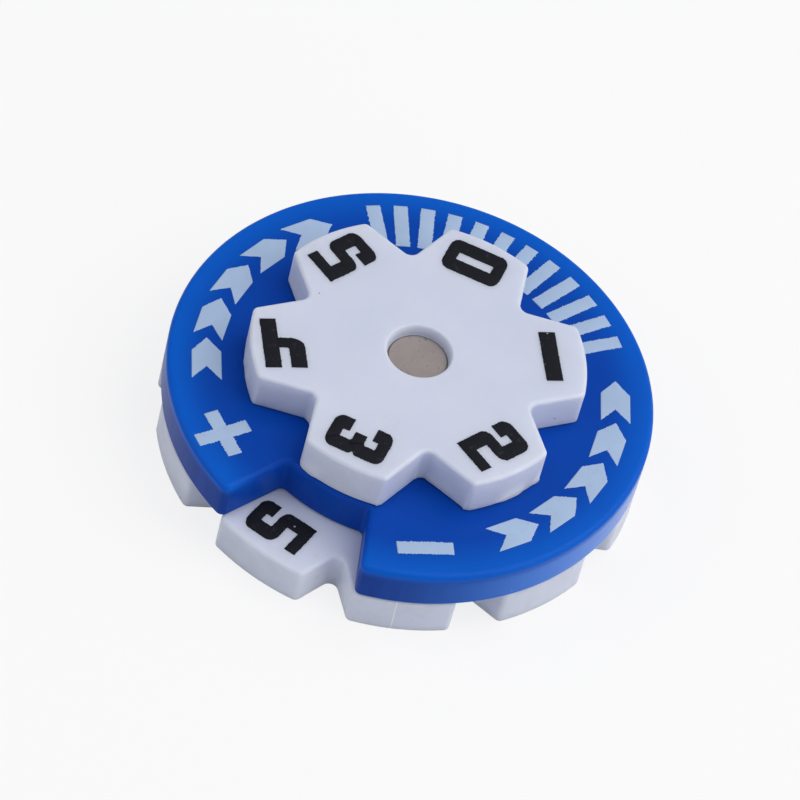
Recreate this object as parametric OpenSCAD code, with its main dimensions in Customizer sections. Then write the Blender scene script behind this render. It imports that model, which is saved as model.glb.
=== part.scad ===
// Dial life counter, millimetres, +Z up.
// A notched cover plate turns between two toothed number wheels. The upper wheel has the tens,
// the lower wheel the ones, and the two digits that stand at the plate's notch are the count.
// The origin is on the common axis at the underside of the lower wheel.
// +X runs through the middle of the notch, so that the count reads upright from the centre outwards.

/* [Stack] */
// Thickness of each number wheel
wheel_t = 3.5; // [2.6:0.1:6]
// Thickness of the cover plate
plate_t = 3.5; // [2.6:0.1:6]
// Running gap between the plate and each wheel's face
face_gap = 0.1; // [0.05:0.05:0.3]

/* [Cover plate] */
// Radius of the cover plate
plate_r = 20; // [18:0.5:26]
// Rounding of the rim's edge at the printed face
plate_edge_r = 0.45; // [0.1:0.05:0.6]
// Softening of the notch's edges at the printed face
notch_edge_r = 0.4; // [0.1:0.05:0.6]
// Width of the notch between its outer corners
notch_mouth_w = 12.4; // [9:0.2:15]
// Width of the notch along its back wall
notch_back_w = 7.5; // [5:0.1:9]
// Gap between the tips of the tens wheel and the notch's back wall
notch_back_gap = 0.15; // [0:0.05:1]
// Radius of the notch's corners, seen from above
notch_corner_r = 0.7; // [0.5:0.05:1.2]

/* [Tens wheel] */
// Number of teeth, one for each tens digit
tens_teeth = 6; // [5:1:8]
// Radius at the tooth tips
tens_tip_r = 13.75; // [12:0.25:16]
// Width of a tooth across its tip
tens_tooth_w = 7.2; // [5:0.1:8]
// Lean of a tooth's flank from the middle line of the valley beside it
tens_flank_deg = 46; // [40:1:55]
// Radius at the bottom of a valley
tens_valley_r = 0.8; // [0.5:0.05:1.5]
// Angle of the first tooth from the middle of the notch
tens_at_deg = 3.5; // [-30:0.5:30]

/* [Ones wheel] */
// Number of teeth, one for each digit
ones_teeth = 10; // [8:1:12]
// How far the tooth tips stand inside the plate's rim
ones_tip_inset = 0; // [0:0.1:1]
// Width of a tooth across its tip
ones_tooth_w = 8.2; // [5:0.1:8.6]
// Lean of a tooth's flank from the middle line of the valley beside it
ones_flank_deg = 32; // [26:1:40]
// Radius at the bottom of a valley
ones_valley_r = 0.7; // [0.5:0.05:1.5]
// Angle of the first tooth from the middle of the notch
ones_at_deg = -6.2; // [-18:0.1:18]

/* [Tooth edges] */
// Radius of a tooth's tip corners, seen from above
tooth_corner_r = 0.55; // [0.3:0.05:1]
// Rounding of each wheel's rim at its printed face
tooth_edge_r = 0.4; // [0.1:0.05:0.6]

/* [Hub] */
// Radius of the hub that turns in the plate's bore
hub_r = 4; // [3.4:0.1:6]
// Running clearance of the hub in the bore, on the radius
hub_clearance = 0.05; // [0.02:0.01:0.1]
// Free space between the ends of the two hubs
hub_end_gap = 0.5; // [0.2:0.1:1]
// Bevel round the end of a hub
hub_bevel = 0.25; // [0.1:0.05:0.4]

/* [Magnets] */
// Radius of each disc magnet
magnet_r = 2.5; // [1.5:0.1:2.8]
// Thickness of each disc magnet
magnet_t = 3; // [1:0.1:3.2]
// Bevel round each face of a magnet
magnet_bevel = 0.15; // [0.05:0.05:0.3]
// Depth at which a magnet lies below the wheel's outer face
magnet_recess = 1; // [0.6:0.1:1.4]
// Step from the magnet's pocket out to the wider recess above it
recess_step = 0.05; // [0.05:0.01:0.3]
// Bevel round the recess's lip
lip_bevel = 0.2; // [0.1:0.05:0.3]

/* [Hidden] */
$fn = 96;

over = 0.25;                                     // how far a cutting shape runs past what it cuts
edge_steps = 2;                                  // flat steps that soften an edge of the notch
plate_z = wheel_t + face_gap;                    // underside of the plate
stack_h = 2 * wheel_t + plate_t + 2 * face_gap;  // top face of the tens wheel
hub_h = (plate_t + 2 * face_gap - hub_end_gap) / 2;
recess_r = magnet_r + recess_step;
bore_r = hub_r + hub_clearance;
ones_tip_r = plate_r - ones_tip_inset;

// The notch about +X: its back wall follows the tens wheel's tips, and each side wall runs out to the rim
notch_back_r = tens_tip_r + notch_back_gap;
wall_in = [sqrt(pow(notch_back_r, 2) - pow(notch_back_w / 2, 2)), notch_back_w / 2];
wall_out = [sqrt(pow(plate_r, 2) - pow(notch_mouth_w / 2, 2)), notch_mouth_w / 2];
wall_deg = atan2(wall_out.y - wall_in.y, wall_out.x - wall_in.x);
wall_off = wall_in * normal(wall_deg);
// The wall's straight stretch and the centres of its corners: the inner one is in the notch, the outer
// one in the plate
inner_s = corner_s(notch_back_r, wall_off, -notch_corner_r);
outer_s = corner_s(plate_r, wall_off, notch_corner_r);
inner_corner = (wall_off - notch_corner_r) * normal(wall_deg) + inner_s * along(wall_deg);
outer_corner = (wall_off + notch_corner_r) * normal(wall_deg) + outer_s * along(wall_deg);

// A wall seen from above is a line of points off * normal + s * along, where along leans from +X
function along(lean) = [cos(lean), sin(lean)];
function normal(lean) = [-sin(lean), cos(lean)];
// The place along such a wall where a corner of radius corner_r rounds it into the circle of radius r
function corner_s(r, off, corner_r) = sqrt(pow(r - corner_r, 2) - pow(off + corner_r, 2));
// An outline from its points above +X, closed by the same points mirrored below
function both_sides(upper) = [for (p = upper) p, for (i = [len(upper) - 1:-1:0]) [upper[i].x, -upper[i].y]];

// Half-section of a disc from its bore out. Its rim is round at the printed face, y = t, and sharp at
// y = 0, where the mould parts
module disc_section(inner_r, r, t, edge_r) {
    translate([inner_r, 0]) square([r - inner_r, t - edge_r]);
    translate([inner_r, 0]) square([r - edge_r - inner_r, t]);
    translate([r - edge_r, t - edge_r]) circle(edge_r);
}

// Half-section of a wheel with its outer face at y = 0: disc, hub, and the magnet's stepped pocket. The
// print is on the outer face, or on the face that the hub stands on
module wheel_section(tip_r, printed_outside) {
    difference() {
        union() {
            translate([0, printed_outside ? wheel_t : 0]) mirror([0, printed_outside ? 1 : 0])
                disc_section(0, tip_r, wheel_t, tooth_edge_r);
            polygon([[0, 0], [hub_r, 0], [hub_r, wheel_t + hub_h - hub_bevel],
                     [hub_r - hub_bevel, wheel_t + hub_h], [0, wheel_t + hub_h]]);
        }
        translate([0, -over]) square([recess_r, over + magnet_recess]);
        square([magnet_r, magnet_recess + magnet_t]);
        polygon([[0, -over], [recess_r + lip_bevel + over, -over], [recess_r, lip_bevel], [0, lip_bevel]]);
    }
}

// Plan of one valley about +X: its rounded bottom, its two flanks and the tip corners that it rounds
module valley_plan(tip_r, teeth, tooth_w, lean, valley_r) {
    corner_deg = 180 / teeth - asin(tooth_w / 2 / tip_r);
    off = tip_r * along(corner_deg) * normal(lean);
    x_valley = (valley_r - off) / sin(lean);
    s_corner = corner_s(tip_r, off, tooth_corner_r);
    corner = (off + tooth_corner_r) * normal(lean) + s_corner * along(lean);
    upper = [off * normal(lean) + x_valley * cos(lean) * along(lean),
             off * normal(lean) + s_corner * along(lean), corner,
             corner * (tip_r + over) / corner.x];
    translate([x_valley, 0]) circle(valley_r);
    difference() {
        polygon(both_sides(upper));
        for (side = [-1, 1]) translate([corner.x, side * corner.y]) circle(tooth_corner_r);
    }
}

// A whole number wheel with its outer face at z = 0 and its first tooth at +X
module wheel(tip_r, teeth, tooth_w, lean, valley_r, printed_outside) {
    difference() {
        rotate_extrude() wheel_section(tip_r, printed_outside);
        for (i = [0:teeth - 1]) rotate([0, 0, (i + 0.5) * 360 / teeth])
            translate([0, 0, -over]) linear_extrude(wheel_t + 2 * over)
                valley_plan(tip_r, teeth, tooth_w, lean, valley_r);
    }
}

// A disc magnet with bevelled faces, from z = 0
module magnet() {
    cylinder(h = magnet_bevel, r1 = magnet_r - magnet_bevel, r2 = magnet_r);
    translate([0, 0, magnet_bevel]) cylinder(h = magnet_t - 2 * magnet_bevel, r = magnet_r);
    translate([0, 0, magnet_t - magnet_bevel])
        cylinder(h = magnet_bevel, r1 = magnet_r, r2 = magnet_r - magnet_bevel);
}

module ones_wheel() {
    color("whitesmoke") rotate([0, 0, ones_at_deg])
        wheel(ones_tip_r, ones_teeth, ones_tooth_w, ones_flank_deg, ones_valley_r, false);
}

module lower_magnet() {
    color("darkgray") translate([0, 0, magnet_recess]) magnet();
}

module tens_wheel() {
    color("white") translate([0, 0, stack_h]) rotate([180, 0, tens_at_deg])
        wheel(tens_tip_r, tens_teeth, tens_tooth_w, tens_flank_deg, tens_valley_r, true);
}

module upper_magnet() {
    color("silver") translate([0, 0, stack_h - magnet_recess - magnet_t]) magnet();
}

// Section of what softening cuts from a wall of the notch that stands at x = 0, at the printed face. It
// goes in steps from the wall to the face, and the last step runs on until it is above the face
module notch_edge_section() {
    step_deg = 90 / edge_steps;
    polygon([[-over, plate_t - notch_edge_r],
             for (i = [0:edge_steps])
                 [notch_edge_r * (1 - cos(i * step_deg)), plate_t - notch_edge_r * (1 - sin(i * step_deg))],
             [notch_edge_r + over / tan(step_deg / 2), plate_t + over], [-over, plate_t + over]]);
}

// The notch right through the plate, whose underside is z = 0
module notch() {
    back_deg = atan2(inner_corner.y, inner_corner.x);
    upper = [inner_corner * notch_back_r / (notch_back_r + notch_corner_r), inner_corner,
             wall_off * normal(wall_deg) + inner_s * along(wall_deg),
             wall_off * normal(wall_deg) + outer_s * along(wall_deg),
             outer_corner, outer_corner * (plate_r + over) / outer_corner.x];
    translate([0, 0, -over]) linear_extrude(plate_t + 2 * over) difference() {
        union() {
            polygon(both_sides(upper));
            for (side = [-1, 1]) translate([inner_corner.x, side * inner_corner.y]) circle(notch_corner_r);
        }
        circle(notch_back_r);
        for (side = [-1, 1]) translate([outer_corner.x, side * outer_corner.y]) circle(notch_corner_r);
    }
    rotate([0, 0, -back_deg]) rotate_extrude(angle = 2 * back_deg)
        translate([notch_back_r, 0]) mirror([1, 0]) notch_edge_section();
    for (side = [0, 1]) mirror([0, side, 0])
        translate(wall_off * normal(wall_deg) + inner_s * along(wall_deg)) rotate([90, 0, 90 + wall_deg])
            linear_extrude(plate_r - inner_s) notch_edge_section();
}

module cover_plate() {
    color("mediumblue") translate([0, 0, plate_z]) difference() {
        rotate_extrude() disc_section(bore_r, plate_r, plate_t, plate_edge_r);
        notch();
    }
}

ones_wheel();
lower_magnet();
cover_plate();
tens_wheel();
upper_magnet();
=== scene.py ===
# Dial life counter. A blue cover plate with one notch lies between two white number wheels that turn on
# it, each with a disc magnet pressed into its hub. The magnets pull the stack together through the
# hubs' floors. Lengths are in millimetres, but for the floor, the lamps and the camera, in metres.
import bpy
import numpy as np
from math import asin, atan2, cos, pi, radians, sin, sqrt
from mathutils import Matrix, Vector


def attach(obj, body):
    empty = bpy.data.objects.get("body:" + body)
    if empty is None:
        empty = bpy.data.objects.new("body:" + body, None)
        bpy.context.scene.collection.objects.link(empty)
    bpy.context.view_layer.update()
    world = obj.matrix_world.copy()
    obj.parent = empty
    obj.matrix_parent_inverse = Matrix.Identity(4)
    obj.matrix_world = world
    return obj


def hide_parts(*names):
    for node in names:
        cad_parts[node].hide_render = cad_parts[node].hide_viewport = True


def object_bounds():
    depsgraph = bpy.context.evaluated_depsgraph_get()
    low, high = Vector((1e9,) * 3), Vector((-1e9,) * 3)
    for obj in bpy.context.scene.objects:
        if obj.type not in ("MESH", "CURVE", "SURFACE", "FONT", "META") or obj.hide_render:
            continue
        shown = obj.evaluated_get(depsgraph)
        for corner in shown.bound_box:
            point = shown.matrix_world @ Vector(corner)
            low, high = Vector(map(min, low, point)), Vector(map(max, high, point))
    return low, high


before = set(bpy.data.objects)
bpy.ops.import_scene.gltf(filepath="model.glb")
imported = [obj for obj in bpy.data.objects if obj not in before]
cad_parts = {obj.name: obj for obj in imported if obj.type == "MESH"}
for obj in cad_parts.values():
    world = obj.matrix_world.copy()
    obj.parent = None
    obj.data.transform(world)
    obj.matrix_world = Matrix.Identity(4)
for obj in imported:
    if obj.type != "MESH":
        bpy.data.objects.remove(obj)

cad_box = [list(corner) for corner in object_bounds()]


# ONES WHEEL
# The lower wheel, a satin white moulding with ten teeth. Its hub turns in the plate's bore, and its
# underside has the pocket of the lower magnet. A faint line on one tooth is where two halves of the
# mould met.
WHEEL_T = 3.5
PRINTED_EDGE_R, PARTING_EDGE_R, CORNER_R = 0.3, 0.08, 0.55
HUB_R, HUB_H, HUB_BEVEL = 4.0, 1.6, 0.25
RECESS_R, RECESS_DEPTH, LIP_W, LIP_DEPTH = 2.55, 1.0, 0.25, 0.8
POCKET_R, POCKET_DEPTH = 2.52, 4.0
ONES_TEETH, ONES_TIP_R, ONES_TOOTH_W = 10, 20.0, 8.2
ONES_LEAN, ONES_ROOT_R, ONES_AT = radians(32), 0.7, radians(-6.2)
MOULD_LINE_AT = radians(28.2)
NEAR = 0.03  # how near to a corner a flat has a row of its own, so that it stays flat when shaded


def unit(angle):
    """The unit vector at an angle, for one angle or an array of them."""
    return np.stack([np.cos(angle), np.sin(angle)], -1)


def eased(n, near=0.04):
    """n + 1 places from 0 to 1, with one close to each end so that a flat stays flat when shaded."""
    inner = np.linspace(0, 1, n - 1)
    return np.concatenate([[0, near], inner[1:-1], [1 - near, 1]])


def arc(centre, r, start, end, n):
    """Points centre + r u(a) and their outward normals u(a), for a from start to end in n spans. A
    hollow corner has a negative r."""
    a = start + (end - start) * np.linspace(0, 1, n + 1)
    return np.asarray(centre) + r * unit(a), unit(a)


def straight(start, end, n):
    """Points on the line from start to end in n spans, with the normal on its right-hand side."""
    way = (end - start) / np.linalg.norm(end - start)
    points = start + eased(n)[:, None] * (end - start)
    return points, np.tile([way[1], -way[0]], (n + 1, 1))


def joined(pieces):
    """Pieces of an outline end to end, each without its last point, which the next one has."""
    return tuple(np.concatenate([piece[k][:-1] for piece in pieces]) for k in (0, 1))


def mirrored(pieces):
    """The same pieces mirrored in the x axis and run the other way, so that they lead up to it."""
    flip = np.array([1, -1])
    return [(points[::-1] * flip, normals[::-1] * flip) for points, normals in reversed(pieces)]


def toothed_outline(tip_r, teeth, tooth_w, lean, root_r, at):
    """Outline of a wheel and its normals. From the middle of a valley it is an arc round the root, a
    flank that leans from the valley's middle line, an arc round the tooth's corner, and half of the
    tip's arc about the axis. The same mirrored leads up to it. The pitch that this makes is repeated
    so that a tooth's middle stands at the angle given."""
    mouth = pi / teeth - asin(tooth_w / 2 / tip_r)
    off = tip_r * sin(mouth - lean)
    normal, way = unit(lean + pi / 2), unit(lean)
    root = np.array([(root_r - off) / sin(lean), 0])
    along = sqrt((tip_r - CORNER_R) ** 2 - (off + CORNER_R) ** 2)
    corner = (off + CORNER_R) * normal + along * way
    turn = atan2(corner[1], corner[0])
    half = [
        arc(root, -root_r, 0, lean - pi / 2, 9),
        straight(root + root_r * normal, corner - CORNER_R * normal, 5),
        arc(corner, CORNER_R, lean - pi / 2, turn, 9),
        arc([0, 0], tip_r, turn, pi / teeth, 10),
    ]
    points, normals = joined(mirrored(half) + half)
    a = at + (np.arange(teeth) + 0.5) * 2 * pi / teeth
    spin = np.stack([unit(a), unit(a + pi / 2)], 1)
    return tuple(np.einsum("pk,tkx->tpx", v, spin).reshape(-1, 2) for v in (points, normals))


def quarter(r, n=7):
    """Insets and depths of a rounded edge from its face to its wall: r (1 - sin a) and r (1 - cos a)."""
    a = np.linspace(0, pi / 2, n + 1)
    return r * (1 - np.sin(a)), r * (1 - np.cos(a))


def wheel_rows(outer_edge_r, inner_edge_r):
    """Rows of a wheel from the pocket's floor, out over the recess's lip, which is a quarter ellipse,
    round the teeth and in to the end of the hub. Each is a radius on the turned part, an inset from the
    toothed outline, a share from the first to the second, and a depth from the outer face."""
    lip = np.linspace(0, pi / 2, 10)
    turned_in = [
        (0, POCKET_DEPTH), (POCKET_R - NEAR, POCKET_DEPTH), (POCKET_R, POCKET_DEPTH - NEAR),
        (POCKET_R, RECESS_DEPTH), (RECESS_R, RECESS_DEPTH), (RECESS_R, RECESS_DEPTH - NEAR),
        (RECESS_R, LIP_DEPTH + NEAR),
        *zip(RECESS_R + LIP_W * (1 - np.cos(lip)), LIP_DEPTH * (1 - np.sin(lip))),
    ]
    hub_end = WHEEL_T + HUB_H
    turned_out = [
        (HUB_R, WHEEL_T), (HUB_R, WHEEL_T + NEAR), (HUB_R, hub_end - HUB_BEVEL),
        (HUB_R - HUB_BEVEL, hub_end), (HUB_R - HUB_BEVEL - NEAR, hub_end), (0, hub_end),
    ]
    wall = (outer_edge_r + NEAR, WHEEL_T / 2, WHEEL_T - inner_edge_r - NEAR)
    rows = [(r, 0, 0, z) for r, z in turned_in]
    rows += [(RECESS_R + LIP_W, outer_edge_r, share, 0) for share in (0.005, 0.3, 0.65, 0.98)]
    rows += [(0, inset, 1, z) for inset, z in zip(*quarter(outer_edge_r))]
    rows += [(0, 0, 1, z) for z in wall]
    rows += [(0, inset, 1, WHEEL_T - z) for inset, z in zip(*quarter(inner_edge_r))][::-1]
    rows += [(HUB_R, inner_edge_r, share, WHEEL_T) for share in (0.98, 0.6, 0.25, 0.01)]
    return np.array(rows + [(r, 0, 0, z) for r, z in turned_out])


def toothed_body(outline, rows):
    """Grid of a body with an outline. A point is (1 - share) r u(a) + share (outline - inset normal),
    where a is the outline point's angle about the axis, at the row's depth."""
    points, normals = outline
    r, inset, share, z = (rows[:, k, None, None] for k in range(4))
    about_axis = unit(np.arctan2(points[:, 1], points[:, 0]))
    flat = (1 - share) * r * about_axis + share * (points - inset * normals)
    return np.concatenate([flat, np.broadcast_to(z, flat.shape[:2] + (1,))], -1)


def grid_faces(rows, columns, rows_close, columns_close):
    """Corner numbers of the quads of a grid, which closes on itself along either way or not."""
    g = np.arange(rows * columns).reshape(rows, columns)
    g = np.concatenate([g, g[:1]]) if rows_close else g
    g = np.concatenate([g, g[:, :1]], 1) if columns_close else g
    return np.stack([g[:-1, :-1], g[:-1, 1:], g[1:, 1:], g[1:, :-1]], -1).reshape(-1, 4)


def closed_shell(grid, rows_close=False):
    """Corners and faces of a grid of rings round an axis. A first or last ring of no size is one pole,
    and the faces are turned to point outwards, which a positive enclosed volume shows."""
    rows, columns = grid.shape[:2]
    corners = grid.reshape(-1, 3)
    quads = grid_faces(rows, columns, rows_close, True)
    poles = [row for row in (0, rows - 1) if not rows_close and np.ptp(grid[row], 0).max() < 1e-9]
    for row in poles:
        quads[(quads // columns) == row] = row * columns
    kept, quads = np.unique(quads, return_inverse=True)
    corners, quads = corners[kept], quads.reshape(-1, 4)
    a, b, c, d = (corners[quads[:, k]] for k in range(4))
    volume = (a * (np.cross(b, c) + np.cross(c, d))).sum()
    quads = quads if volume > 0 else quads[:, ::-1]
    faces = [[v for k, v in enumerate(q) if v != q[k - 1]] for q in quads.tolist()]
    return corners, faces


def piece(name, corners, faces, finish, body, slot, replaces=()):
    """A finished piece of the counter: its mesh from millimetres, smooth, in its material, on its body."""
    mesh = bpy.data.meshes.new(name)
    mesh.from_pydata(np.asarray(corners) / 1000, [], faces)
    mesh.shade_smooth()
    mesh.materials.append(finish)
    made = bpy.data.objects.new(name, mesh)
    bpy.context.scene.collection.objects.link(made)
    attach(made, body)
    if replaces:
        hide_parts(*replaces)


class Socket:
    """A value in a material. Python's operators on it add Math nodes, or Vector Math nodes for a vector."""

    def __init__(self, finish, socket):
        self.finish, self.socket = finish, socket

    def op(self, operation, first, second):
        kind = "VectorMath" if self.socket.type == "VECTOR" else "Math"
        return self.finish.node("ShaderNode" + kind, {"operation": operation}, first, second)

    def __add__(self, other):
        return self.op("ADD", self, other)

    def __radd__(self, other):
        return self.op("ADD", other, self)

    def __sub__(self, other):
        return self.op("SUBTRACT", self, other)

    def __rsub__(self, other):
        return self.op("SUBTRACT", other, self)

    def __mul__(self, other):
        return self.op("MULTIPLY", self, other)

    def __rmul__(self, other):
        return self.op("MULTIPLY", other, self)

    def step(self, low, high):
        """0 below low and 1 above high, with a smooth rise between them, or the reverse."""
        return self.finish.node("ShaderNodeMapRange", {"interpolation_type": "SMOOTHSTEP"}, self, low, high)


class Finish:
    """A material under construction."""

    def __init__(self, name):
        self.material = bpy.data.materials.new(name)
        self.material.use_nodes = True
        self.nodes = self.material.node_tree.nodes
        self.bsdf = self.nodes["Principled BSDF"]
        self.place = self.node("ShaderNodeTexCoord", {}, out="Object")

    def put(self, socket, value):
        """Links a value to a socket, or sets a number, a vector, or a colour without its alpha."""
        if isinstance(value, Socket):
            self.material.node_tree.links.new(value.socket, socket)
        else:
            socket.default_value = (*value, 1) if socket.type == "RGBA" else value

    def put_named(self, sockets, values):
        """Does the same by the sockets' names, written small and with underscores."""
        for name, value in values.items():
            self.put(next(s for s in sockets if s.name.replace(" ", "_").lower() == name), value)

    def node(self, kind, settings, *values, out=None, **named):
        """A node of a kind: its settings first, then its sockets' values or links in order or by name.
        Gives the output of a name, or the first one in use."""
        made = self.nodes.new(kind)
        for key, value in settings.items():
            setattr(made, key, value)
        live = [s for s in made.inputs if s.enabled]
        for socket, value in zip(live, values):
            self.put(socket, value)
        self.put_named(live, named)
        return Socket(self, made.outputs[out] if out else next(s for s in made.outputs if s.enabled))

    def math(self, operation, *values):
        """A Math node of an operation that Python has no operator for."""
        return self.node("ShaderNodeMath", {"operation": operation}, *values)

    def axes(self):
        """The object's x, y and z, and the distance from its axis, in millimetres."""
        split = self.node("ShaderNodeSeparateXYZ", {}, self.place * (1000, 1000, 1000))
        x, y, z = (Socket(self, socket) for socket in split.socket.node.outputs)
        return x, y, z, self.math("SQRT", x * x + y * y)

    def stretched(self, **mapping):
        """The object's coordinates for a pattern that a Mapping node turns and scales."""
        return self.node("ShaderNodeMapping", {}, vector=self.place, **mapping)

    def noise(self, scale, detail=3, rough=0.5, at=None):
        """Cloudy noise from 0 to 1, scale being how many cells fit in a metre."""
        return self.node("ShaderNodeTexNoise", {}, vector=at or self.place, scale=scale, detail=detail,
                         roughness=rough)

    def spots(self, scale, size):
        """1 inside round spots of a size in cells, 0 outside, on a loose grid of scale cells a metre."""
        near = self.node("ShaderNodeTexVoronoi", {}, vector=self.place, scale=scale)
        return near.step(size, size * 0.6)

    def blend(self, share, first, second):
        """A colour that goes from the first to the second with the share."""
        return self.node("ShaderNodeMix", {"data_type": "RGBA"}, share, first, second)

    def bump(self, height, depth):
        """A normal from a height of 0 to 1 that stands for a depth in millimetres."""
        return self.node("ShaderNodeBump", {}, strength=1.0, distance=depth / 1000, height=height)

    def done(self, **sockets):
        """Sets the shader's own sockets by name, lengths in metres, and gives the material."""
        self.put_named(self.bsdf.inputs, sockets)
        return self.material


def white_plastic(name, tip_r, mould_line=None):
    """Satin white moulded plastic, a little cool and translucent, with a fine eroded grain, a cloudy
    unevenness from the flow of the melt, a few dust specks and yellowed scuffs, and teeth that have
    greyed in use. A mould line, at an angle about the axis, is a raised hair on the tooth's tip."""
    f = Finish(name)
    x, y, _, from_axis = f.axes()
    cloud = f.noise(90, 4, 0.55)
    grain = f.noise(9000, 2, 0.6)
    specks = f.spots(330, 0.04) * f.noise(140, 1).step(0.5, 0.53)
    scuffs = f.noise(420, 2, at=f.stretched(rotation=(0, 0, 0.9), scale=(1, 6, 1))).step(0.7, 0.78)
    handled = from_axis.step(0.75 * tip_r, tip_r) * f.noise(330, 5, 0.7).step(0.4, 0.7)
    colour = f.blend(cloud.step(0.3, 0.75), (0.645, 0.685, 0.805), (0.69, 0.725, 0.84))
    colour = f.blend(handled * 0.16, colour, (0.44, 0.42, 0.44))
    colour = f.blend(scuffs * 0.3, colour, (0.60, 0.60, 0.52))
    colour = f.blend(specks * 0.75, colour, (0.16, 0.15, 0.15))
    height = grain * 0.5 + f.noise(1100, 3) * 0.5
    if mould_line is not None:
        off = f.math("ABSOLUTE", f.math("ARCTAN2", y, x) - mould_line)
        line = off.step(0.0034, 0.0014) * from_axis.step(0.98 * tip_r, 0.99 * tip_r)
        colour = f.blend(line, colour, (0.93, 0.93, 0.97))
        height = height + line * 4
    return f.done(base_color=colour, roughness=0.34 + 0.14 * cloud + 0.1 * handled,
                  normal=f.bump(height, 0.006), subsurface_weight=0.7, subsurface_radius=(1.0, 0.95, 0.9),
                  subsurface_scale=0.0014, specular_ior_level=0.4)


ones_outline = toothed_outline(ONES_TIP_R, ONES_TEETH, ONES_TOOTH_W, ONES_LEAN, ONES_ROOT_R, ONES_AT)
ones_grid = toothed_body(ones_outline, wheel_rows(PARTING_EDGE_R, PRINTED_EDGE_R))
piece("ones_wheel_body", *closed_shell(ones_grid),
      white_plastic("ones_wheel_white", ONES_TIP_R, MOULD_LINE_AT), "ones", "wheel_white", ["ones_wheel"])


# ONES DIGITS
# Black digits 0 to 9 in a square block face, printed on the wheel's upper side, one on each tooth. The
# numbers rise clockwise, a digit's left side faces the axis, and the 5 shows in the notch.
INK_T, INK_SUNK = 0.012, 0.004
LAYER = 0.001  # a height too small to see, which keeps two surfaces from being level
HALF_STEM, HALF_BAR = 0.65, 0.49
DIGIT_X, DIGIT_Y = 1.615, 4.13
INSIDE_R, OUTSIDE_R, HAIR_R, BEND_POINTS = 0.16, 1.42, 0.03, 7
PRINT_STEP, PRINT_WANDER, DIGIT_COMB = 0.135, 0.01, 0.045
ONES_DIGIT_R, ONES_DIGIT_SIDE, ONES_DIGIT_TURN, ONES_SHOWN = 17.02, -0.09, radians(1.2), 5
rough = np.random.default_rng(5)


def digit_strokes(digit):
    """Centre lines of a digit's strokes, counted in half strokes from its middle: half stems across and
    half bars up. A point ends in how round the stroke's corner is there, 1 being the usual and 0 a
    sharp corner or an end. A 1 is two strokes almost in one, which makes it a little wider."""
    x, y, end = DIGIT_X, DIGIT_Y, DIGIT_Y + 1
    return {
        0: [[(x, y, 1), (-x, y, 1), (-x, -y, 1), (x, -y, 1), (x, y, 1)]],
        1: [[(-0.05, end, 0), (-0.05, -end, 0)], [(0.05, end, 0), (0.05, -end, 0)]],
        2: [[(-x, 2.0, 0), (-x, y, 1), (x, y, 1), (x, 0, 1), (-x, 0, 1), (-x, -y, 0), (x + 0.85, -y, 0)]],
        3: [[(-x, 2.0, 0), (-x, y, 1), (x, y, 1), (x, 0.9, 0.4), (x - 0.9, 0, 0), (-0.9, 0, 0)],
            [(-0.9, 0, 0), (x - 0.9, 0, 0), (x, -0.9, 0.4), (x, -y, 1), (-x, -y, 1), (-x, -2.0, 0)]],
        4: [[(-x, end, 0), (-x, -0.1, 1.3), (x - 0.9, -0.1, 0)], [(x, end, 0), (x, -end, 0)]],
        5: [[(x + 0.7, y, 0), (-x, y, 0), (-x, 0, 1), (x, 0, 1), (x, -y, 1), (-x, -y, 1), (-x, -2.0, 0)]],
        6: [[(x, 2.0, 0), (x, y, 1), (-x, y, 1), (-x, -y, 1), (x, -y, 1), (x, 0, 1), (1 - x, 0, 0)]],
        7: [[(-x - 1, y, 0), (x, y, 0), (x, 1.4, 1), (-0.5, -end, 0)]],
        8: [[(-x, 0.1, 1), (x, 0.1, 1), (x, y, 1), (-x, y, 1), (-x, 0.1, 1)],
            [(-x, -0.1, 1), (x, -0.1, 1), (x, -y, 1), (-x, -y, 1), (-x, -0.1, 1)]],
        9: [[(-x, -2.0, 0), (-x, -y, 1), (x, -y, 1), (x, y, 1), (-x, y, 1), (-x, 0, 1), (x - 1, 0, 0)]],
    }[digit]


def turned_edge(points, round_r):
    """A line through points with its corners rounded. A corner of turn t is replaced by an arc of
    radius r that starts r tan(t / 2) before it: start + r (sin s before + (1 - cos s) side), s being
    from 0 to t."""
    ways = np.diff(points, axis=0)
    ways /= np.linalg.norm(ways, axis=1)[:, None]
    before, after = ways[:-1], ways[1:]
    cross = before[:, 0] * after[:, 1] - before[:, 1] * after[:, 0]
    turn = np.arctan2(cross, (before * after).sum(1))
    r = round_r[1:-1, None]
    side = np.sign(turn)[:, None] * np.stack([-before[:, 1], before[:, 0]], 1)
    start = points[1:-1] - r * np.tan(np.abs(turn) / 2)[:, None] * before
    s = np.abs(turn[:, None] * np.linspace(0, 1, BEND_POINTS))[..., None]
    bend = start[:, None] + r[:, None] * (np.sin(s) * before[:, None] + (1 - np.cos(s)) * side[:, None])
    return np.concatenate([points[:1], bend.reshape(-1, 2), points[-1:]])


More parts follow.
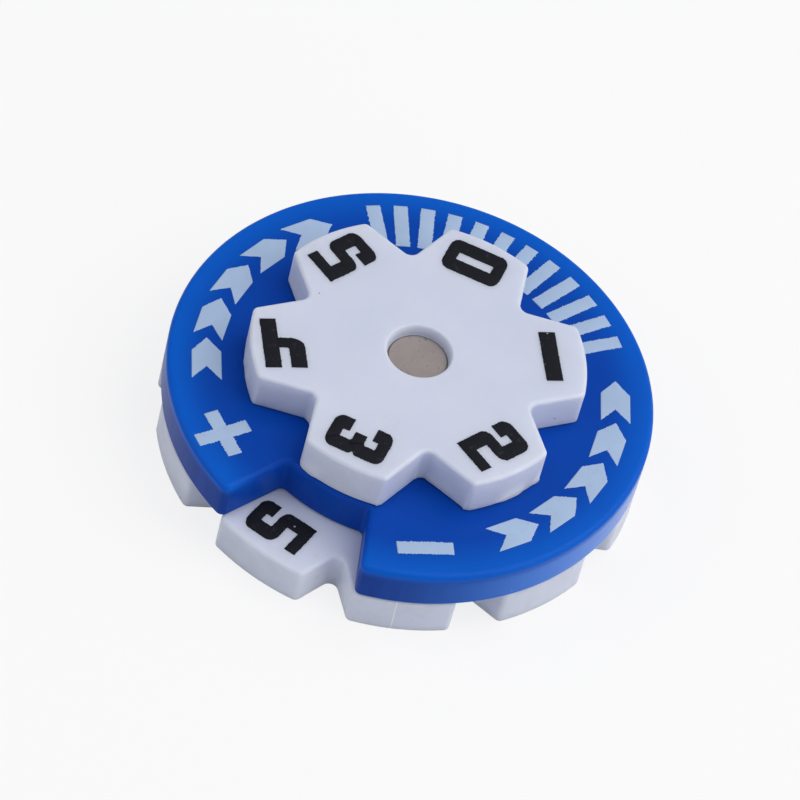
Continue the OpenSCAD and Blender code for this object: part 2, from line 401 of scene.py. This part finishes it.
def stroke_edges(stroke):
    """Left and right edges of a stroke, and whether it is closed. They run one half stroke from its
    centre line with mitred corners, which are then rounded: wide on the outside of a bend, tight on its
    inside, and by a hair where it is sharp."""
    stroke = np.array(stroke, float)
    points, rounded = stroke[:, :2], stroke[:, 2]
    ways = np.diff(points, axis=0)
    ways /= np.linalg.norm(ways, axis=1)[:, None]
    normals = np.stack([-ways[:, 1], ways[:, 0]], 1)
    closed = np.allclose(points[0], points[-1])
    first, last = (normals[-1], normals[0]) if closed else (normals[0], normals[-1])
    before, after = np.concatenate([[first], normals]), np.concatenate([normals, [last]])
    mitre = (before + after) / (1 + (before * after).sum(1))[:, None]
    if closed:
        points, rounded, mitre = (np.concatenate([v, v[1:2]]) for v in (points, rounded, mitre))
    ways = np.diff(points, axis=0)
    left_turn = np.zeros(len(points))
    left_turn[1:-1] = np.sign(ways[:-1, 0] * ways[1:, 1] - ways[:-1, 1] * ways[1:, 0])
    edges = []
    for side in (1, -1):
        r = np.where(left_turn == side, INSIDE_R * rounded ** 3, OUTSIDE_R * rounded)
        edge = turned_edge(points + side * mitre, np.maximum(HAIR_R, r))
        edges.append(edge[1:-1] if closed else edge)
    return edges, closed


def roughened(edges, closed, comb):
    """Both edges of a stroke as a printing screen leaves them: a point about every step, every other
    one pushed outwards by up to the comb's height, and each moved a little at random."""
    starts = edges if closed else [edge[:-1] for edge in edges]
    ends = [np.roll(edge, -1, 0) if closed else edge[1:] for edge in edges]
    spans = np.max([np.linalg.norm(b - a, axis=1) for a, b in zip(starts, ends)], 0)
    parts = np.maximum(1, np.round(spans / PRINT_STEP)).astype(int)
    k = np.repeat(np.arange(len(parts)), parts)
    share = ((np.arange(len(k)) - np.repeat(np.cumsum(parts) - parts, parts)) / parts[k])[:, None]
    lines = [a[k] + share * (b - a)[k] for a, b in zip(starts, ends)]
    if not closed:
        lines = [np.concatenate([line, edge[-1:]]) for line, edge in zip(lines, edges)]
    across = lines[0] - lines[1]
    across /= np.linalg.norm(across, axis=1)[:, None]
    comb = comb * (np.arange(len(across)) % 2)[:, None]
    printed = []
    for line, way in zip(lines, (1, -1)):
        pushed = line + way * comb * rough.uniform(0.1, 1, (len(line), 1)) * across
        printed.append(pushed + rough.normal(0, PRINT_WANDER, line.shape))
    return printed


def placed(edge, r, at, turn=0.0, side=0.0, shift=(0, 0)):
    """A flat edge set down on a face: turned by its own angle, moved out to r and sideways, then swung
    round the axis to an angle, and last moved as the whole print is."""
    x, y = (edge @ np.stack([unit(turn), unit(turn + pi / 2)]) + [r, side]).T
    return np.stack([x * cos(at) - y * sin(at), x * sin(at) + y * cos(at)], 1) + shift


def film(edges, closed, comb, base, top, *place):
    """Corners and faces of an ink film. A point is left + w (right - left) at a height h, where (w, h)
    runs round a flat section with soft shoulders, and an open film has its two ends closed."""
    left, right = (placed(edge, *place) for edge in roughened(edges, closed, comb))
    w = np.array([0, 0, 0.02, 0.98, 1, 1])
    h = np.array([0, 0.6, 1, 1, 0.6, 0])
    flat = left + w[:, None, None] * (right - left)
    z = np.broadcast_to((base + h * (top - base))[:, None, None], flat.shape[:2] + (1,))
    grid = np.concatenate([flat, z], -1)
    rows, columns = grid.shape[:2]
    faces = grid_faces(rows, columns, True, closed)
    first_end = np.arange(rows) * columns
    last_end = (first_end + columns - 1)[::-1]
    ends = [] if closed else [first_end.tolist(), last_end.tolist()]
    level = grid[2:4, :2]
    up = np.cross(level[0, 1] - level[0, 0], level[1, 0] - level[0, 0])[2] > 0
    faces = faces.tolist() if up else faces[:, ::-1].tolist()
    return grid.reshape(-1, 3), faces + [end if up else end[::-1] for end in ends]


def gathered(shells):
    """Several shells as one, each shell's corners counted on from those before it."""
    counts = np.cumsum([0] + [len(corners) for corners, _ in shells])
    faces = [[v + start for v in face] for (_, made), start in zip(shells, counts) for face in made]
    return np.concatenate([corners for corners, _ in shells]), faces


def digit_films(digit, base, top, *place):
    """Films of a digit's strokes, the second a layer lower than the first."""
    films = []
    for k, stroke in enumerate(digit_strokes(digit)):
        edges, closed = stroke_edges(stroke)
        edges = [edge * [HALF_STEM, HALF_BAR] for edge in edges]
        films.append(film(edges, closed, DIGIT_COMB, base, top - LAYER * k, *place))
    return films


def printing_ink(name, ink, under, wear, coarse):
    """Satin printing ink that dries uneven: cloudy in tone, thin in coarse spots where some of the
    face under it shows through, by the share of wear, and with a few pinholes."""
    f = Finish(name)
    cloud = f.noise(420, 4, 0.6)
    thin = f.noise(coarse, 5, 0.7).step(0.56, 0.74) * wear
    holes = f.spots(900, 0.09) * f.noise(500, 1).step(0.62, 0.65)
    colour = f.blend(cloud, [0.92 * v for v in ink], [1.08 * v for v in ink])
    colour = f.blend(thin, colour, under)
    colour = f.blend(holes * 0.7, colour, under)
    height = f.noise(5200, 3, 0.6) + thin * 0.5
    return f.done(base_color=colour, roughness=0.42 + 0.18 * cloud, normal=f.bump(height, 0.004),
                  specular_ior_level=0.12)


black_ink = printing_ink("black_ink", (0.009, 0.010, 0.014), (0.5, 0.52, 0.6), 0.05, 1500)
ones_films = []
for digit in range(ONES_TEETH):
    at = ONES_AT - (digit - ONES_SHOWN) * 2 * pi / ONES_TEETH
    ones_films += digit_films(digit, WHEEL_T - INK_SUNK, WHEEL_T + INK_T,
                              ONES_DIGIT_R, at, ONES_DIGIT_TURN, ONES_DIGIT_SIDE)
piece("ones_digits", *gathered(ones_films), black_ink, "ones", "digit_ink")


# LOWER MAGNET
# A nickel-plated disc magnet, pressed into the ones wheel from below until it stands 1 mm inside. Its
# rims are rounded by the tumbling that such magnets get before they are plated.
MAGNET_R, MAGNET_T, MAGNET_EDGE_R = 2.5, 3.0, 0.15


def magnet_grid(base):
    """Rings r u(a) of a disc turned about the axis, with its two rims rounded."""
    inset, depth = quarter(MAGNET_EDGE_R, 5)
    face = np.array([0, 0.9, 1.8, MAGNET_R - MAGNET_EDGE_R - 0.02])
    r = np.concatenate([face, MAGNET_R - inset, MAGNET_R - inset[::-1], face[::-1]])
    z = base + np.concatenate([0 * face, depth, MAGNET_T - depth[::-1], 0 * face + MAGNET_T])
    a = np.linspace(0, 2 * pi, 97)[:-1]
    flat = r[:, None, None] * unit(a)
    return np.concatenate([flat, np.broadcast_to(z[:, None, None], flat.shape[:2] + (1,))], -1)


def nickel_plate(name):
    """Dull nickel plating with fine scratches one way, rubbed spots, a few pits that have gone brown,
    and a dark ring painted along its rim, a painted shade where it meets the wheel's wall round it."""
    f = Finish(name)
    from_axis = f.axes()[3]
    scratches = f.noise(900, 4, 0.75, at=f.stretched(rotation=(0, 0, 0.6), scale=(1, 9, 1)))
    cloud = f.noise(700, 4, 0.6)
    rubbed = f.noise(330, 2).step(0.4, 0.62)
    stains = f.noise(1300, 5, 0.7).step(0.56, 0.7) * from_axis.step(0.8, 2.4)
    # painted shade: a dark ring round the rim, where the magnet meets the wheel's wall
    painted_rim_shade = (from_axis + 0.12 * cloud).step(MAGNET_R - 0.14, MAGNET_R - 0.04)
    pits = f.spots(1500, 0.17) * f.noise(600, 2).step(0.5, 0.6)
    colour = f.blend(cloud, (0.35, 0.295, 0.29), (0.465, 0.395, 0.39))
    colour = f.blend(rubbed * 0.6, colour, (0.42, 0.40, 0.36))
    colour = f.blend(scratches.step(0.58, 0.72) * 0.3, colour, (0.66, 0.62, 0.6))
    colour = f.blend(stains * 0.5, colour, (0.22, 0.18, 0.165))
    colour = f.blend(pits * 0.3, colour, (0.18, 0.14, 0.13))
    # the painted shade round the rim
    colour = f.blend(painted_rim_shade * 0.45, colour, (0.14, 0.12, 0.10))
    height = scratches * 0.7 + cloud * 0.3 - pits * 0.8
    return f.done(base_color=colour, metallic=1.0, roughness=0.42 + 0.2 * cloud + 0.1 * pits + 0.1 * stains,
                  normal=f.bump(height, 0.006))


nickel = nickel_plate("magnet_nickel")
piece("lower_magnet_disc", *closed_shell(magnet_grid(RECESS_DEPTH)), nickel, "ones", "magnet_metal",
      ["lower_magnet"])


# COVER PLATE
# The middle disc, moulded in a deep blue plastic that lets a little light through its thin edges. Its
# bore runs on both hubs, and its one notch shows a digit of the wheel below.
PLATE_T, PLATE_Z = 3.5, 3.6
PLATE_R, PLATE_EDGE_R, BORE_R, BORE_EDGE_R = 20.0, 0.45, 4.05, 0.2
NOTCH_BACK_R, NOTCH_BACK_W, NOTCH_MOUTH_W, NOTCH_CORNER_R = 13.9, 7.5, 12.4, 0.62


def plate_outline():
    """Outline of the plate and its normals: half the notch's back wall about the axis, the hollow
    corner, the side wall, the round outer corner, and the rim. The same mirrored leads up to it."""
    wall_in = np.array([sqrt(NOTCH_BACK_R ** 2 - NOTCH_BACK_W ** 2 / 4), NOTCH_BACK_W / 2])
    wall_out = np.array([sqrt(PLATE_R ** 2 - NOTCH_MOUTH_W ** 2 / 4), NOTCH_MOUTH_W / 2])
    lean = atan2(*(wall_out - wall_in)[::-1])
    normal, way, r = unit(lean + pi / 2), unit(lean), NOTCH_CORNER_R
    off = wall_in @ normal
    inner = (off - r) * normal + sqrt((NOTCH_BACK_R + r) ** 2 - (off - r) ** 2) * way
    outer = (off + r) * normal + sqrt((PLATE_R - r) ** 2 - (off + r) ** 2) * way
    back_end, rim_start = atan2(*inner[::-1]), atan2(*outer[::-1])
    half = [
        arc([0, 0], NOTCH_BACK_R, 0, back_end, 10),
        arc(inner, -r, back_end, lean - pi / 2, 9),
        straight(inner + r * normal, outer - r * normal, 8),
        arc(outer, r, lean - pi / 2, rim_start, 10),
        arc([0, 0], PLATE_R, rim_start, pi, 150),
    ]
    return joined(mirrored(half) + half)


def plate_rows():
    """Rows round the plate's section: out of the bore, along the top, over the rim, down the wall, and
    back under to the bore. Each is what a row of a wheel is, with its height for a depth."""
    bore_edge_in, bore_edge_down = quarter(BORE_EDGE_R, 4)
    bore_edge = list(zip(BORE_R + bore_edge_in, bore_edge_down))
    face_in = BORE_R + BORE_EDGE_R
    wall = (PLATE_T - PLATE_EDGE_R - NEAR, PLATE_T / 2, PARTING_EDGE_R + NEAR)
    bore = (BORE_EDGE_R + NEAR, PLATE_T / 2, PLATE_T - BORE_EDGE_R - NEAR)
    rows = [(r, 0, 0, PLATE_T - z) for r, z in bore_edge[::-1]]
    rows += [(face_in, PLATE_EDGE_R, share, PLATE_T) for share in (0.005, 0.25, 0.5, 0.75, 0.99)]
    rows += [(0, inset, 1, PLATE_T - z) for inset, z in zip(*quarter(PLATE_EDGE_R))]
    rows += [(0, 0, 1, z) for z in wall]
    rows += [(0, inset, 1, z) for inset, z in zip(*quarter(PARTING_EDGE_R, 4))][::-1]
    rows += [(face_in, PARTING_EDGE_R, share, 0) for share in (0.99, 0.5, 0.005)]
    rows += [(r, 0, 0, z) for r, z in bore_edge]
    return np.array(rows + [(BORE_R, 0, 0, z) for z in bore])


def blue_plastic(name):
    """Deep blue moulded plastic. Its top is painted brighter towards the rim, a painted glow for the light
    that gets in from the side, and its rim's wall is painted darkest, a painted shade. It has flow marks
    down its walls, handling haze, and a little dust. Towards one side the wall has a painted lit side: a
    brighter blue and a glossy coat stand for the light that falls on it there."""
    f = Finish(name)
    x, y, z, from_axis = f.axes()
    haze = f.noise(160, 4, 0.6)
    top = z.step(PLATE_Z + 2.2, PLATE_Z + 3.2)
    # painted glow: the top is painted brighter towards the rim, for the light that gets in from the side
    rim = from_axis.step(0.8 * PLATE_R, PLATE_R) * top
    # painted shade: the rim's wall is marked out to be painted darker than the top
    wall = from_axis.step(PLATE_R - 1.4, PLATE_R - 0.3) * (1 - top)
    # painted light: one side of the wall is marked out for a brighter blue and a glossy coat, for the light
    # that falls on it there
    painted_lit_side = wall * (0.95 * y - 0.31 * x).step(0, PLATE_R - 1.5)
    streaks = f.noise(1500, 3, 0.6, at=f.stretched(scale=(1, 1, 0.06))).step(0.42, 0.68) * (1 - top)
    dust = f.spots(420, 0.035) * f.noise(200, 1).step(0.5, 0.54)
    # the painted glow towards the rim of the top
    colour = f.blend(rim, (0.0012, 0.058, 0.40), (0.0019, 0.112, 0.58))
    colour = f.blend(haze.step(0.35, 0.8) * 0.3, colour, (0.0015, 0.072, 0.45))
    # painted shade on the rim's wall
    colour = f.blend(wall, colour, (0.0012, 0.043, 0.29))
    colour = f.blend(streaks * 0.35, colour, (0.002, 0.075, 0.42))
    # painted lit side: a brighter blue on one side of the wall
    colour = f.blend(painted_lit_side, colour, (0.003, 0.165, 0.70))
    colour = f.blend(dust * 0.7, colour, (0.35, 0.45, 0.65))
    height = f.noise(2600, 3, 0.6) * 0.6 + f.noise(9000, 2) * 0.4 + streaks * 0.5
    # the coat on the wall's lit side is part of the painted sheen
    return f.done(base_color=colour, roughness=0.27 + 0.16 * haze, normal=f.bump(height, 0.004),
                  subsurface_weight=0.25, subsurface_radius=(0.25, 0.6, 1.0), subsurface_scale=0.0012,
                  coat_weight=painted_lit_side * 0.5, coat_roughness=0.22, specular_ior_level=0.08)


plate_grid = toothed_body(plate_outline(), plate_rows()) + [0, 0, PLATE_Z]
piece("cover_plate_body", *closed_shell(plate_grid, rows_close=True), blue_plastic("plate_blue_gloss"),
      "plate", "plate_blue", ["cover_plate"])


# PLATE PRINTS
# Pale prints on the plate: a plus and a minus on the two sides of the notch, a row of arrows from each
# of them that shows which way counts up and down, and a plain scale of bars on the far side.
SIGN_R, SIGN_AT, SIGN_TURN, SIGN_HALF, BAR_HALF_W = 17.1, radians(33.4), radians(2), 2.29, 0.57
ARROW_R, ARROW_FIRST, ARROW_PITCH, ARROWS = 16.76, radians(58.7), radians(15), 5
ARROW_W, ARROW_TIP, ARROW_SHOULDER, ARROW_TAIL, ARROW_NECK = 1.22, 2.38, 0.95, -1.87, -0.55
SCALE_R, SCALE_HALF, SCALE_BARS, SCALE_PITCH = 16.2, 2.2, 12, radians(7.3)
PLATE_COMB = 0.1


def plate_film(edges, *place, lower=0.0):
    """A film on the plate between two edges of the same number of points."""
    top = PLATE_Z + PLATE_T
    return film([np.array(edge) for edge in edges], False, PLATE_COMB, top - INK_SUNK,
                top + INK_T - lower, *place)


def bar(half_l):
    """The two edges of a bar that points outwards."""
    return [[(-half_l, side * BAR_HALF_W), (half_l, side * BAR_HALF_W)] for side in (1, -1)]


plate_films = [plate_film(bar(SIGN_HALF), SIGN_R, -SIGN_AT, 0)]
plate_films += [plate_film(bar(SIGN_HALF), SIGN_R, side * SIGN_AT, pi / 2 + turn, lower=LAYER)
                for side, turn in ((1, SIGN_TURN), (-1, 0))]
for k in range(ARROWS):
    for way in (1, -1):
        front, back = ([(-ARROW_W, way * edge), (0, way * middle), (ARROW_W, way * edge)]
                       for edge, middle in ((ARROW_SHOULDER, ARROW_TIP), (ARROW_TAIL, ARROW_NECK)))
        plate_films.append(plate_film([front, back], ARROW_R, way * (ARROW_FIRST + k * ARROW_PITCH)))
for k in range(SCALE_BARS):
    at = pi + (k - (SCALE_BARS - 1) / 2) * SCALE_PITCH
    plate_films.append(plate_film(bar(SCALE_HALF), SCALE_R, at))
pale_ink = printing_ink("pale_print", (0.40, 0.525, 0.72), (0.01, 0.10, 0.5), 0.14, 1900)
piece("plate_prints", *gathered(plate_films), pale_ink, "plate", "sign_ink")


# TENS WHEEL
# The upper wheel, a smaller moulding in the same plastic with six teeth. It lies upside down on the
# plate, with its hub in the bore and its recess up, and the mould's joint left a thin fin round its
# lower edge.
TENS_TEETH, TENS_TIP_R, TENS_TOOTH_W = 6, 13.75, 7.2
TENS_LEAN, TENS_ROOT_R, TENS_AT = radians(46), 0.8, radians(3.5)
STACK_H = 1000 * cad_box[1][2]
TENS_TOP = STACK_H - INK_T - LAYER
FIN_W = 0.08


def with_fin(grid, rows, normals):
    """The grid with a fin round its parting edge. The rows within that edge move outwards by a width
    that comes and goes at random, smoothed along the outline."""
    wander = np.pad(rough.normal(0, 1, len(normals)), 3, mode="wrap")
    smooth = np.convolve(wander, np.hanning(7), "valid")
    at_joint = (rows[:, 2] == 1) & (rows[:, 3] > WHEEL_T - PARTING_EDGE_R - NEAR / 2)
    finned = grid.copy()
    finned[at_joint, :, :2] += FIN_W * np.clip(smooth / 2 - 0.3, 0, 1)[:, None] * normals
    return finned


tens_outline = toothed_outline(TENS_TIP_R, TENS_TEETH, TENS_TOOTH_W, TENS_LEAN, TENS_ROOT_R, TENS_AT)
tens_rows = wheel_rows(PRINTED_EDGE_R, PARTING_EDGE_R)
tens_grid = with_fin(toothed_body(tens_outline, tens_rows), tens_rows, tens_outline[1])
tens_grid = tens_grid * [1, 1, -1] + [0, 0, TENS_TOP]
piece("tens_wheel_body", *closed_shell(tens_grid), white_plastic("tens_wheel_white", TENS_TIP_R),
      "tens", "wheel_white", ["tens_wheel"])


# TENS DIGITS
# The digits 0 to 5 on the tens wheel, in the same ink and face, with the 3 at the notch. The whole
# print lies a little turned and shifted on the moulding.
TENS_DIGIT_R, TENS_DIGIT_SIDE, TENS_DIGIT_TURN, TENS_SHOWN = 10.92, 0.13, radians(3.5), 3
TENS_PRINT_SHIFT = (0, -0.18)

tens_films = []
for digit in range(TENS_TEETH):
    at = TENS_AT - (digit - TENS_SHOWN) * 2 * pi / TENS_TEETH
    tens_films += digit_films(digit, TENS_TOP - INK_SUNK, TENS_TOP + INK_T,
                              TENS_DIGIT_R, at, TENS_DIGIT_TURN, TENS_DIGIT_SIDE, TENS_PRINT_SHIFT)
piece("tens_digits", *gathered(tens_films), black_ink, "tens", "digit_ink")


# UPPER MAGNET
# The same disc magnet, pressed into the tens wheel from above and seen at the bottom of the recess. The
# two magnets lie with unlike poles facing, so they pull on each other.
upper_base = STACK_H - RECESS_DEPTH - MAGNET_T
piece("upper_magnet_disc", *closed_shell(magnet_grid(upper_base)), nickel, "tens", "magnet_metal",
      ["upper_magnet"])


# FLOOR, LIGHT AND CAMERA
# A white floor that keeps the counter's shadow, a wide soft key lamp high on the right, a weaker fill
# high on the left, a small lamp low on the right for the walls, and the camera at the photograph's
# distance and tilt. Lengths are in metres from here on.
FLOOR_HALF, FLOOR_GAP = 3.0, 0.00002
LAMP_AWAY, WORLD_COLOUR, WORLD_STRENGTH = 0.7, (0.9, 0.93, 1.0), 0.31
VIEW_AZIMUTH, CAMERA_UP, CAMERA_AWAY = radians(18), 0.879289, 0.4157
CAMERA_PAN, CAMERA_TILT, CAMERA_ROLL = 0.001196, -0.0063508, 0.267029
FOCAL_PIXELS, PICTURE_PIXELS, SENSOR_WIDTH = 5074.2, 800, 36


def flat_floor(half, z, finish):
    """A square floor about the axis at a height."""
    corners = [(x * half, y * half, z) for x, y in ((-1, -1), (1, -1), (1, 1), (-1, 1))]
    mesh = bpy.data.meshes.new("floor")
    mesh.from_pydata(corners, [], [(0, 1, 2, 3)])
    mesh.materials.append(finish)
    made = bpy.data.objects.new("floor", mesh)
    bpy.context.scene.collection.objects.link(made)


def floor_white(name):
    """Matt white. To the camera, and in what shines or lets light through, four fifths of it is its own
    even light, and the rest takes the shadow."""
    f = Finish(name)
    rays = f.node("ShaderNodeLightPath", {}).socket.node.outputs
    camera, glossy, through = (Socket(f, rays["Is " + kind + " Ray"])
                               for kind in ("Camera", "Glossy", "Transmission"))
    share = f.math("MAXIMUM", f.math("MAXIMUM", camera, glossy), through) * 0.8
    lit = f.node("ShaderNodeEmission", {}, (1, 1, 1), 1.0)
    mixed = f.node("ShaderNodeMixShader", {}, share, Socket(f, f.bsdf.outputs[0]), lit)
    f.put(f.nodes["Material Output"].inputs["Surface"], mixed)
    return f.done(base_color=(0.84, 0.84, 0.85), roughness=0.9, specular_ior_level=0.0)


def towards(azimuth, elevation):
    """The unit vector from the object to a place at an azimuth and elevation."""
    return np.array([*(cos(elevation) * unit(azimuth)), sin(elevation)])


def soft_lamp(name, power, size, azimuth, elevation, colour):
    """A square lamp that faces the object, at an azimuth counted from the view's."""
    lamp = bpy.data.lights.new(name, "AREA")
    lamp.energy, lamp.size, lamp.color = power, size, colour
    made = bpy.data.objects.new(name, lamp)
    made.location = LAMP_AWAY * towards(VIEW_AZIMUTH + azimuth, elevation)
    made.rotation_euler = (-made.location).to_track_quat("-Z", "Y").to_euler()
    bpy.context.scene.collection.objects.link(made)


def camera_axes():
    """Rows that take a place to right, down and forward in the picture: aimed at the origin from the
    view's azimuth and height, then panned about down, tilted about right and rolled about forward."""
    right = np.array([*unit(VIEW_AZIMUTH + pi / 2), 0])
    forward = -towards(VIEW_AZIMUTH, CAMERA_UP)
    rows = np.stack([right, np.cross(forward, right), forward])
    for angle, (first, second) in ((CAMERA_PAN, (2, 0)), (CAMERA_TILT, (1, 2)), (CAMERA_ROLL, (0, 1))):
        turn = np.eye(3)
        turn[[first, second], [first, second]] = cos(angle)
        turn[first, second], turn[second, first] = -sin(angle), sin(angle)
        rows = turn @ rows
    return rows


flat_floor(FLOOR_HALF, -FLOOR_GAP, floor_white("white_floor"))
soft_lamp("key", 3.9, 0.8, radians(104), radians(56), (1, 0.985, 0.97))
soft_lamp("fill", 1.2, 0.6, radians(-75), radians(48), (0.93, 0.95, 1))
soft_lamp("low", 0.9, 0.4, radians(57), radians(9), (0.97, 0.97, 1))

world = bpy.data.worlds.new("studio")
world.use_nodes = True
background = world.node_tree.nodes["Background"].inputs
background["Color"].default_value = (*WORLD_COLOUR, 1)
background["Strength"].default_value = WORLD_STRENGTH
bpy.context.scene.world = world
bpy.context.scene.view_settings.view_transform = "Standard"

camera = bpy.data.objects.new("camera", bpy.data.cameras.new("camera"))
bpy.context.scene.collection.objects.link(camera)
camera.data.sensor_width = SENSOR_WIDTH
camera.data.lens = SENSOR_WIDTH * FOCAL_PIXELS / PICTURE_PIXELS
camera.data.clip_start, camera.data.clip_end = 0.01, 20
right, down, forward = camera_axes()
aim = Matrix(np.stack([right, -down, -forward], 1).tolist()).to_4x4()
camera.matrix_world = Matrix.Translation(CAMERA_AWAY * towards(VIEW_AZIMUTH, CAMERA_UP)) @ aim
bpy.context.scene.camera = camera
